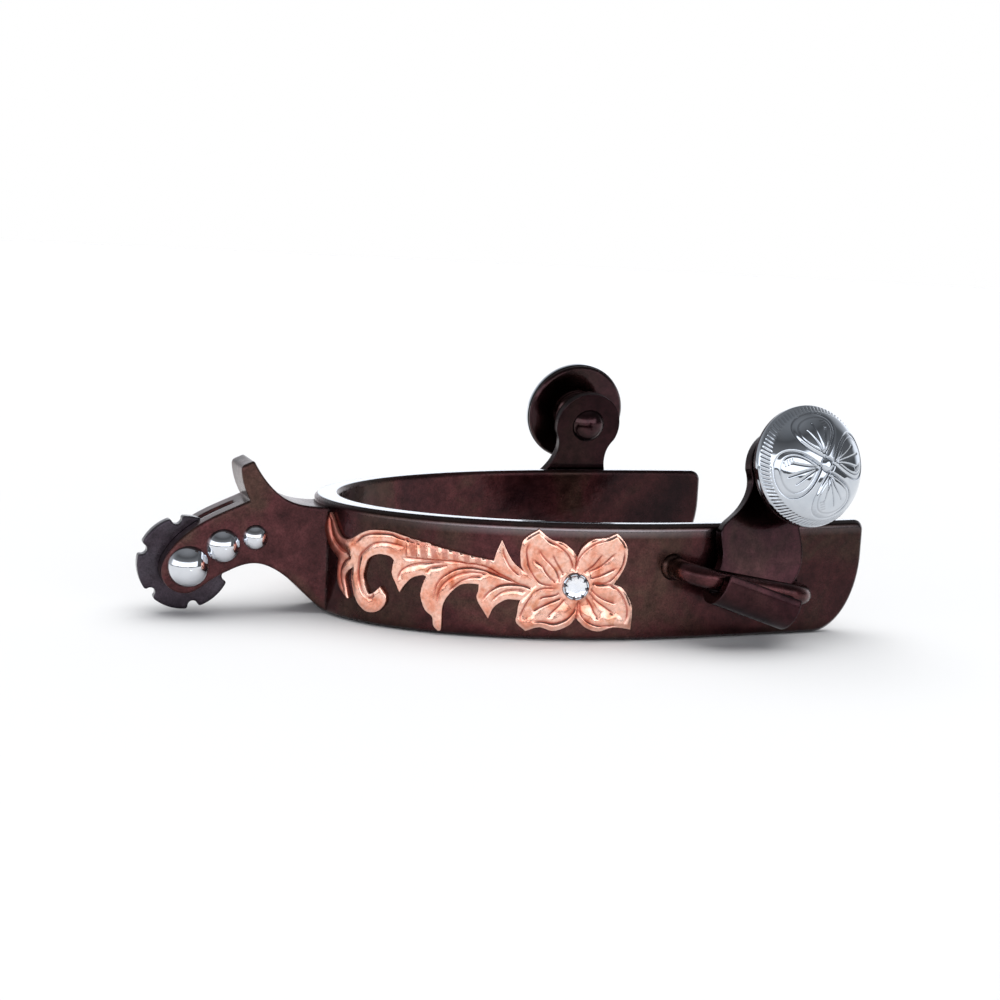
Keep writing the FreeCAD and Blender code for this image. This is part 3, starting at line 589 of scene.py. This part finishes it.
def flower_shape(places, edge):
    """Dished petals with engraved lines, and a flat seat for the stone's bezel."""
    rise, cut, rim = carved(places, edge, FLOWER_LINES)
    out = np.hypot(*(places - STONE).T)
    rise += 0.20 * smooth_step(3.0, 9.0, out) * smooth_step(0.2, 1.0, edge)
    rise -= 0.34 * smooth_step(0.9, 4.0, edge)
    seat = smooth_step(4.0, 2.9, out)
    rise = rise * (1 - seat) + 0.8 * seat
    return rise, cut * (1 - seat), rim


SCROLL_OUTLINE = [
    [(57.0, 13.6), (55.4, 14.6), (53.7, 15.6), (51.7, 17.6), (49.7, 21.5)],
    [(49.7, 21.5), (48.6, 18.6), (48.2, 17.0)],
    [(48.2, 17.0), (44.0, 17.6), (39.5, 18.5), (35.7, 19.2), (34.2, 19.7), (30.4, 20.3), (26.0, 21.3),
     (21.3, 21.2), (18.6, 20.3), (15.9, 18.7), (14.3, 18.1)],
    [(14.3, 18.1), (12.6, 18.4), (11.3, 19.5), (9.8, 21.7), (8.6, 23.2)],
    [(8.6, 23.2), (6.8, 20.0), (7.4, 17.7), (9.3, 15.4), (11.0, 14.3), (11.9, 13.4)],
    [(11.9, 13.4), (11.7, 11.9), (11.7, 9.3), (12.7, 6.9), (15.1, 5.1)],
    [(15.1, 5.1), (14.3, 7.7), (13.9, 9.5), (14.6, 11.0), (16.2, 12.2)],
    [(16.2, 12.2), (16.1, 10.6), (16.3, 8.7), (17.5, 5.2), (19.5, 3.4), (21.3, 3.0), (23.4, 3.7),
     (24.8, 5.6), (24.7, 7.4), (23.5, 9.0)],
    [(23.5, 9.0), (21.9, 7.5), (20.7, 7.1), (19.7, 8.6), (19.0, 10.5), (19.5, 13.0), (20.4, 14.8),
     (22.7, 16.0), (25.3, 16.0), (26.5, 15.2)],
    [(26.5, 15.2), (26.2, 13.4), (26.3, 11.8), (28.1, 8.4)],
    [(28.1, 8.4), (29.1, 10.0), (30.8, 11.8), (33.0, 12.6), (33.9, 12.4)],
    [(33.9, 12.4), (33.2, 10.6), (32.8, 8.1), (33.9, 5.2), (35.5, 3.8), (35.9, 1.9), (37.0, 0.8)],
    [(37.0, 0.8), (37.6, 1.5), (37.7, 6.1), (38.9, 8.8), (41.0, 11.0), (42.9, 11.6), (45.2, 11.6)],
    [(45.2, 11.6), (45.2, 10.4), (45.0, 8.3), (47.5, 4.3)],
    [(47.5, 4.3), (48.7, 6.9), (50.9, 8.5), (52.6, 8.7), (54.6, 8.6)],
    [(54.6, 8.6), (57.0, 10.0), (57.6, 12.0), (57.0, 13.6)],
]
STRIP_FOOT = [(28.0, 16.3), (29.0, 16.1), (32.0, 16.1), (36.0, 16.1), (39.9, 16.2), (42.4, 15.9),
              (44.8, 15.8), (47.3, 15.2), (49.8, 13.8), (53.1, 12.3), (55.6, 11.4)]
SCROLL_LINES = [
    ([(29.6, 18.3), (26.5, 18.7), (24.0, 18.8), (21.6, 18.2), (19.7, 16.8), (18.2, 15.1), (17.8, 12.7),
      (18.0, 10.1), (18.8, 7.9), (20.1, 6.3), (21.2, 6.0)], 0.5, 1.0, 0.2),
    ([(20.6, 6.2), (21.4, 6.3), (22.1, 7.3)], 0.35, 0.2, 0.6),
    ([(16.6, 17.6), (18.7, 19.5), (21.1, 20.4), (23.9, 20.8), (26.0, 20.8), (27.5, 20.3), (30.6, 19.7),
      (33.0, 19.2)], 0.4, 0.15, 0.3),
    (STRIP_FOOT, 0.5, 0.2, 0.8),
    ([(37.8, 15.8), (34.3, 15.5), (32.2, 15.1), (30.1, 14.4), (28.4, 13.2), (27.7, 11.7), (27.7, 10.2)],
     0.48, 0.9, 0.2),
    ([(38.6, 15.2), (35.3, 14.6), (34.1, 13.6), (33.6, 13.0)], 0.4, 0.7, 0.2),
    ([(53.1, 12.3), (50.6, 13.5), (48.2, 14.2), (45.7, 14.9), (43.2, 15.2), (40.8, 14.8), (38.9, 13.8),
      (37.3, 12.5), (36.2, 10.8), (35.8, 9.0), (35.8, 7.1)], 0.5, 0.2, 0.9),
    ([(47.4, 13.9), (45.4, 14.1), (43.1, 14.1), (41.2, 13.6), (39.2, 12.5), (37.7, 11.1), (36.9, 9.8),
      (36.6, 8.5), (36.5, 6.5)], 0.42, 0.7, 0.2),
    ([(46.1, 13.4), (44.1, 13.2), (42.5, 12.6), (41.2, 11.9), (40.0, 10.8), (38.6, 9.4)], 0.36, 0.6, 0.2),
    ([(56.9, 11.1), (54.7, 11.9), (52.3, 12.1), (49.9, 11.8), (48.3, 10.9), (47.1, 9.7), (46.3, 8.5),
      (45.9, 7.3)], 0.5, 0.2, 0.9),
    ([(55.3, 10.6), (53.3, 10.9), (51.5, 10.7), (50.1, 10.1), (48.9, 9.1), (48.0, 8.0)], 0.4, 0.7, 0.2),
    ([(50.0, 20.0), (50.2, 18.6), (50.9, 17.0), (52.1, 15.3), (54.3, 13.7)], 0.4, 0.8, 0.2),
    ([(8.5, 22.4), (8.9, 20.2), (9.8, 18.0), (11.5, 16.5), (13.6, 15.4), (15.6, 15.1)], 0.5, 0.7, 0.25),
    ([(15.8, 14.6), (14.0, 13.4), (12.9, 11.6), (12.8, 9.6), (13.4, 7.6), (14.6, 5.8)], 0.5, 0.25, 0.7),
]
NOTCH_START, NOTCH_END, NOTCH_PITCH = 29.2, 47.6, 2.3    # mm along the wall


def scroll_shape(places, edge):
    """Engraved leaves, a strip of stepped facets along the stem's top, and painted shade on facets and heel
    tendrils.
    """
    rise, cut, rim = carved(places, edge, SCROLL_LINES)
    s, z = places.T
    foot = np.array(STRIP_FOOT)
    up_strip = z - np.interp(s, foot[:, 0], foot[:, 1])
    above = smooth_step(0.1, 0.5, up_strip)
    within = smooth_step(NOTCH_START - 0.3, NOTCH_START, s) * smooth_step(NOTCH_END, NOTCH_END - 0.6, s)
    phase = ((s - NOTCH_START + 0.12 * (z - 17.5)) / NOTCH_PITCH) % 1.0
    step = smooth_step(0.0, 0.18, phase) * (1 - phase) / 0.82
    tilt = np.where(phase < 0.42, -0.20, 0.02) * (up_strip - 1.4)
    tilt *= smooth_step(39.0, 34.0, s)
    rise += above * within * (0.24 * step - 0.10 + tilt) * smooth_step(0.0, 0.5, edge)
    # painted shade: the back of each stepped facet is stained dark through the cut attribute
    cut = np.maximum(cut, above * within * 0.6 * smooth_step(0.42, 0.55, phase))
    # painted shade: the tendrils at the heel end are stained dark through the cut attribute
    cut = np.maximum(cut, 0.85 * smooth_step(16.0, 13.0, s))
    return rise, cut, rim


# ---------------------------------------------------------------- stone and bezel


def stone_frame(side):
    """Origin on the wall under the stone, and the directions along the band, up, and out."""
    sign = SIDES[side]
    foot = Vector(on_wall(STONE[None], np.zeros(1), sign)[0])
    out = (Vector(on_wall(STONE[None], np.ones(1), sign)[0]) - foot).normalized()
    up = Vector((0, 0, 1))
    along = up.cross(out)
    return Matrix.Translation(foot) @ Matrix((along, up, out)).transposed().to_4x4()


def ring_points(count, radius, height, turn=0.0):
    angles = [2 * math.pi * (k + turn) / count for k in range(count)]
    return [Vector((radius * math.cos(a), radius * math.sin(a), height)) * MM for a in angles]


def rhinestone(side):
    """Brilliant-cut crown over a foiled pavilion."""
    at = stone_frame(side)
    girdle, table, low, high = 2.35, 1.25, 1.55, 2.08
    crown = ring_points(8, table, high) + ring_points(8, 1.95, 1.96, 0.5)
    crown += ring_points(16, girdle, low + 0.25)
    faces = [tuple(range(8))]
    for k in range(8):
        after = (k + 1) % 8
        star = 8 + k
        faces.append((k, star, after))
        faces.append((star, 16 + (2 * k + 1) % 16, 16 + (2 * k + 2) % 16))
        faces.append((star, 16 + (2 * k) % 16, 16 + (2 * k + 1) % 16))
        faces.append((after, star, 16 + (2 * k + 2) % 16, 8 + after))
    faces.append(tuple(reversed(range(16, 32))))
    stone = new_piece(f"{side}_stone_crown", [at @ p for p in crown], faces, GLASS, smooth=False)
    install(stone, "spur_frame", "clear_stone", f"{side}_rhinestone")
    foil = ring_points(16, 2.3, low + 0.05) + ring_points(8, 1.2, 1.50, 0.25) + [Vector((0, 0, 1.44 * MM))]
    faces = []
    for k in range(8):
        after = (k + 1) % 8
        faces += [(2 * k, 2 * k + 1, 16 + k), (2 * k + 1, (2 * k + 2) % 16, 16 + k),
                  (16 + k, (2 * k + 2) % 16, 16 + after), (16 + k, 16 + after, 24)]
    back = new_piece(f"{side}_stone_foil", [at @ p for p in foil], faces, FOIL, smooth=False)
    install(back, "spur_frame", "clear_stone")


def bezel(side):
    """A thin cup with eight small claws pushed over the stone's rim."""
    at = stone_frame(side)
    count, claws = 160, 8
    profile = [(2.98, 0.7), (2.95, 1.45), (2.82, 1.72), (2.6, 1.8), (2.42, 1.7), (2.38, 1.2)]
    points, dark = [], []
    for k in range(count):
        a = 2 * math.pi * k / count
        swell = abs(math.cos(claws / 2 * a + 0.6)) ** 12
        for radius, height in profile:
            claw = swell if radius < 2.7 and height > 1.6 else 0.4 * swell if height > 1.6 else 0.0
            r = radius - (0.62 * swell if radius < 2.5 and height > 1.6 else 0.0)
            points.append(at @ (Vector((r * math.cos(a), r * math.sin(a), height + 0.5 * claw)) * MM))
            dark.append(min(1.0, 1.3 * claw))
    n = len(profile)
    faces = [(k * n + j, ((k + 1) % count) * n + j, ((k + 1) % count) * n + j + 1, k * n + j + 1)
             for k in range(count) for j in range(n - 1)]
    ring = new_piece(f"{side}_clawed_bezel", points, faces, DARK_SILVER, attributes={"cut": dark})
    install(ring, "spur_frame", "dark_silver", f"{side}_stone_bezel")


# ---------------------------------------------------------------- buttons

# Lengths are in mm.
BUTTON_RADIUS = 13.15
RIM_RADIUS = 11.5         # where the band of beads starts
DOME_HEIGHT = 7.6
RIM_HEIGHT = 0.9
CROWN_RADIUS = 34.0       # the dome's radius of curvature at its middle
HUB_RADIUS = 1.45
FACE_OFFSET = 5.15        # from the mount's place to the cap's base
BEADS = 88
PETALS = 4
PETAL_TURN = 14.0         # degrees
# Each outline: where it starts and ends, its half width, its depth, and how far the surface slopes to it
# on its left and right. Each vein: its slope, its bend, where it ends, and its depth.
PETAL_OUTLINES = ((1.5, 11.2, 6.5, 0.30, (0.17, 0.42)), (2.6, 10.3, 5.1, 0.12, (0.17, 0.17)))
PETAL_VEINS = ((-0.30, -0.9, 7.6, 0.16), (-0.02, 0.3, 9.0, 0.20), (0.24, 0.8, 7.9, 0.16))


def button_frame(side):
    """The button's own frame, with z out of its face, from the record's mount."""
    mount = next(m for m in RECORD["mounts"] if m["name"] == f"{side}_strap_button")
    out = Vector(mount["axis"]).normalized()
    along = Vector((0, 0, 1)).cross(out).normalized()
    up = out.cross(along)
    turn = Matrix((along, up, out)).transposed().to_4x4()
    return Matrix.Translation(Vector(mount["pos_m"]) + out * FACE_OFFSET * MM) @ turn


def petal_lines():
    """Engraved lines in the button's plane, mm: each petal's two outlines, its veins and its hatching.

    Each is (points, depth, how far the surface slopes to it on its left and right)."""
    lines = []
    t = np.linspace(0, 2 * math.pi, 120)
    for k in range(PETALS):
        a = math.radians(PETAL_TURN + 360 * k / PETALS)
        turn = np.array([[math.cos(a), math.sin(a)], [-math.sin(a), math.cos(a)]])
        for start, end, width, depth, reaches in PETAL_OUTLINES:
            out = start + (end - start) * (1 - np.cos(t)) / 2
            edge = np.column_stack([out, width * np.sin(t) * np.sin(t / 2)])
            lines.append((edge @ turn, depth, reaches))
        for slope, bend, end, depth in PETAL_VEINS:
            r = np.linspace(2.6, end, 14)
            vein = np.column_stack([r, slope * (r - 1.8) + bend * ((r - 2.6) / 6) ** 2])
            lines.append((vein @ turn, depth, (0.2, 0.2)))
        for row in range(4):
            x, y = 7.4 + 0.55 * row, -3.3 + 0.1 * row
            hatch = curve_through([(x, y), (x, -2.4 + 0.1 * row)], 0.2)
            lines.append((hatch @ turn, 0.10, (0.12, 0.12)))
    return lines


def button_surface(r, places, a):
    """Height of the cap, in mm, at each radius, place and angle, and how deep in a cut it is."""
    gentle = BUTTON_RADIUS ** 2 / (2 * CROWN_RADIUS)
    height = DOME_HEIGHT - gentle * (r / BUTTON_RADIUS) ** 2
    height -= (DOME_HEIGHT - RIM_HEIGHT - gentle) * (r / BUTTON_RADIUS) ** 5
    cut = np.zeros(len(r))
    for line, depth, reaches in petal_lines():
        gap, side_of, _ = to_line(places, line)
        reach = np.where(side_of > 0, *reaches)
        height -= depth * np.exp(-(gap / reach) ** 2)
        cut = np.maximum(cut, np.exp(-(gap / 0.14) ** 2))
    hub = np.exp(-((r - HUB_RADIUS) / 0.2) ** 2)
    height += 0.28 * smooth_step(HUB_RADIUS, 0.5, r) - 0.3 * hub
    cut = np.maximum(cut, hub)
    band = smooth_step(RIM_RADIUS, RIM_RADIUS + 0.4, r)
    band *= smooth_step(BUTTON_RADIUS - 0.15, BUTTON_RADIUS - 0.5, r)
    lean = 0.06 * (r - RIM_RADIUS)
    wave = 0.5 + 0.5 * np.cos(BEADS * (a + lean))
    height -= 0.34 * band * (1 - wave) ** 2
    cut = np.maximum(cut, 0.8 * band * (1 - wave) ** 4)
    return np.maximum(height, 0.55), cut


def button_face(side):
    """Domed silver cap: engraved petals round a hub, and a band of slanted beads at the rim."""
    at = button_frame(side)
    sectors, rings, rim_rings = 528, 92, 26
    radii = np.concatenate([[0.0], np.linspace(0.12, RIM_RADIUS - 0.1, rings),
                            np.linspace(RIM_RADIUS, BUTTON_RADIUS, rim_rings)])
    angles = np.arange(sectors) * 2 * math.pi / sectors
    r, a = np.meshgrid(radii[1:], angles, indexing="ij")
    r, a = np.concatenate([[0.0], r.ravel()]), np.concatenate([[0.0], a.ravel()])
    places = np.column_stack([r * np.cos(a), r * np.sin(a)])
    height, cut = button_surface(r, places, a)
    points = [at @ (Vector((x, y, z)) * MM) for (x, y), z in zip(places, height)]
    faces = [(0, 1 + k, 1 + (k + 1) % sectors) for k in range(sectors)]
    for i in range(len(radii) - 2):
        for k in range(sectors):
            after = (k + 1) % sectors
            faces.append((1 + i * sectors + k, 1 + (i + 1) * sectors + k,
                          1 + (i + 1) * sectors + after, 1 + i * sectors + after))
    last = 1 + (len(radii) - 2) * sectors
    base = len(points)
    for k in range(sectors):
        x, y = BUTTON_RADIUS * math.cos(angles[k]), BUTTON_RADIUS * math.sin(angles[k])
        points.append(at @ (Vector((x, y, 0.0)) * MM))
    faces += [(last + k, base + k, base + (k + 1) % sectors, last + (k + 1) % sectors)
              for k in range(sectors)]
    piece = new_piece(f"{side}_engraved_button", points, faces, SILVER, attributes={
        "cut": np.concatenate([cut, np.zeros(sectors)])})
    install(piece, f"{side}_hanger", "bright_silver", f"{side}_button_face")


# ---------------------------------------------------------------- stage

FLOOR_ALBEDO = 0.80
FLOOR_RADIUS = 6.0                       # metres
SUN = 2.9
BACKGROUND = (1.0, 1.0, 1.0)
CAMERA_PLACE = (-94.807, -361.343, 83.938)   # mm
CAMERA_AZIMUTH = 20.691                  # degrees from +y toward +x that the camera looks
CAMERA_DOWN = 8.796                      # degrees that it looks down
CAMERA_ROLL = 2.796                      # degrees that its right side is raised
LENS = 60.24                             # mm, on a 36 mm sensor


def add_camera():
    data = bpy.data.cameras.new("camera")
    data.sensor_width = 36.0
    data.lens = LENS
    data.clip_start = 0.01
    camera = bpy.data.objects.new("camera", data)
    turn = (Matrix.Rotation(math.radians(-CAMERA_AZIMUTH), 4, "Z")
            @ Matrix.Rotation(math.radians(90 - CAMERA_DOWN), 4, "X")
            @ Matrix.Rotation(math.radians(CAMERA_ROLL), 4, "Z"))
    camera.matrix_world = Matrix.Translation(Vector(CAMERA_PLACE) * MM) @ turn
    bpy.context.scene.collection.objects.link(camera)
    bpy.context.scene.camera = camera


def add_floor():
    """A pale round floor, a hair under the object."""
    count = 96
    z = min(CAD_BOX[0][2], 0.0) - 0.0002
    angles = [2 * math.pi * k / count for k in range(count)]
    points = [(0, 0, z)] + [(FLOOR_RADIUS * math.cos(a), FLOOR_RADIUS * math.sin(a), z) for a in angles]
    faces = [(0, 1 + k, 1 + (k + 1) % count) for k in range(count)]
    s = Shader("floor")
    tone = s.ramp(s.noise(3.0, 2.0), [(0.3, FLOOR_ALBEDO - 0.01), (0.7, FLOOR_ALBEDO)])
    s.set(Base_Color=tone, Roughness=0.9, Specular_IOR_Level=0.0)
    new_piece("floor", points, faces, s.material)


class Sky(Nodes):
    """The studio's light by direction."""

    def __init__(self, tree):
        super().__init__(tree)
        self.x, self.y, self.z = self.split(tree.nodes.new("ShaderNodeTexCoord").outputs["Generated"])

    def eased(self, source, low, high):
        """Nought up to low and one past high, eased between them."""
        node = self.tree.nodes.new("ShaderNodeMapRange")
        node.interpolation_type = "SMOOTHSTEP"
        self.join(source, node.inputs["Value"])
        node.inputs["From Min"].default_value = low
        node.inputs["From Max"].default_value = high
        return node.outputs["Result"]

    def by_height(self, stops):
        """Slightly cool light, its strength set by the sine of the elevation."""
        return self.ramp(self.z, [(at, (0.97 * tone, tone, 1.06 * tone)) for at, tone in stops])


# Strength of the light by the sine of the elevation, toward each side of the room.
WINDOW = [(0.0, 0.14), (0.05, 0.12), (0.08, 2.1), (0.39, 2.0), (0.46, 0.22), (0.75, 0.10), (1.0, 0.26)]
DARK_WALL = [(0.0, 0.10), (0.12, 0.10), (0.20, 0.14), (0.45, 0.13), (0.75, 0.10), (1.0, 0.26)]
PALE_WALL = [(0.0, 1.35), (0.20, 1.30), (0.34, 0.65), (0.60, 0.25), (0.75, 0.18), (1.0, 0.26)]
CORNER = [(0.0, 0.55), (0.34, 0.45), (0.60, 0.22), (0.75, 0.18), (1.0, 0.26)]


def add_world():
    """A studio: a long window in front, a dark wall at its end, a pale wall behind, and a dim ceiling."""
    world = bpy.data.worlds.new("studio")
    bpy.context.scene.world = world
    world.use_nodes = True
    sky = Sky(world.node_tree)
    behind = sky.mix(sky.eased(sky.x, -0.35, 0.30), sky.by_height(CORNER), sky.by_height(PALE_WALL))
    toward_wall = sky.math("SUBTRACT", sky.math("MULTIPLY", sky.x, 0.99), sky.math("MULTIPLY", sky.y, 0.14))
    front = sky.mix(sky.eased(toward_wall, 0.74, 0.80), sky.by_height(WINDOW), sky.by_height(DARK_WALL))
    room = sky.mix(sky.eased(sky.y, -0.10, 0.25), front, behind)
    path = world.node_tree.nodes.new("ShaderNodeLightPath")
    seen = sky.mix(path.outputs["Is Camera Ray"], room, BACKGROUND)
    sky.join(seen, world.node_tree.nodes["Background"].inputs["Color"])


def add_sun():
    """Soft, even light from overhead; it lies on the floor, and doesn't show in the metal."""
    data = bpy.data.lights.new("overhead", "SUN")
    data.energy = SUN
    data.angle = math.radians(80)
    sun = bpy.data.objects.new("overhead", data)
    sun.rotation_euler = (math.radians(-8), math.radians(6), 0)
    sun.visible_glossy = False
    bpy.context.scene.collection.objects.link(sun)


bpy.context.scene.view_settings.view_transform = "Standard"
add_camera()
add_floor()
add_world()
add_sun()
finish_cad_nodes()
relief("copper_flower", FLOWER_OUTLINE, flower_shape, "flower")
relief("copper_scroll", SCROLL_OUTLINE, scroll_shape, "scroll")
for side in SIDES:
    rhinestone(side)
    bezel(side)
    button_face(side)
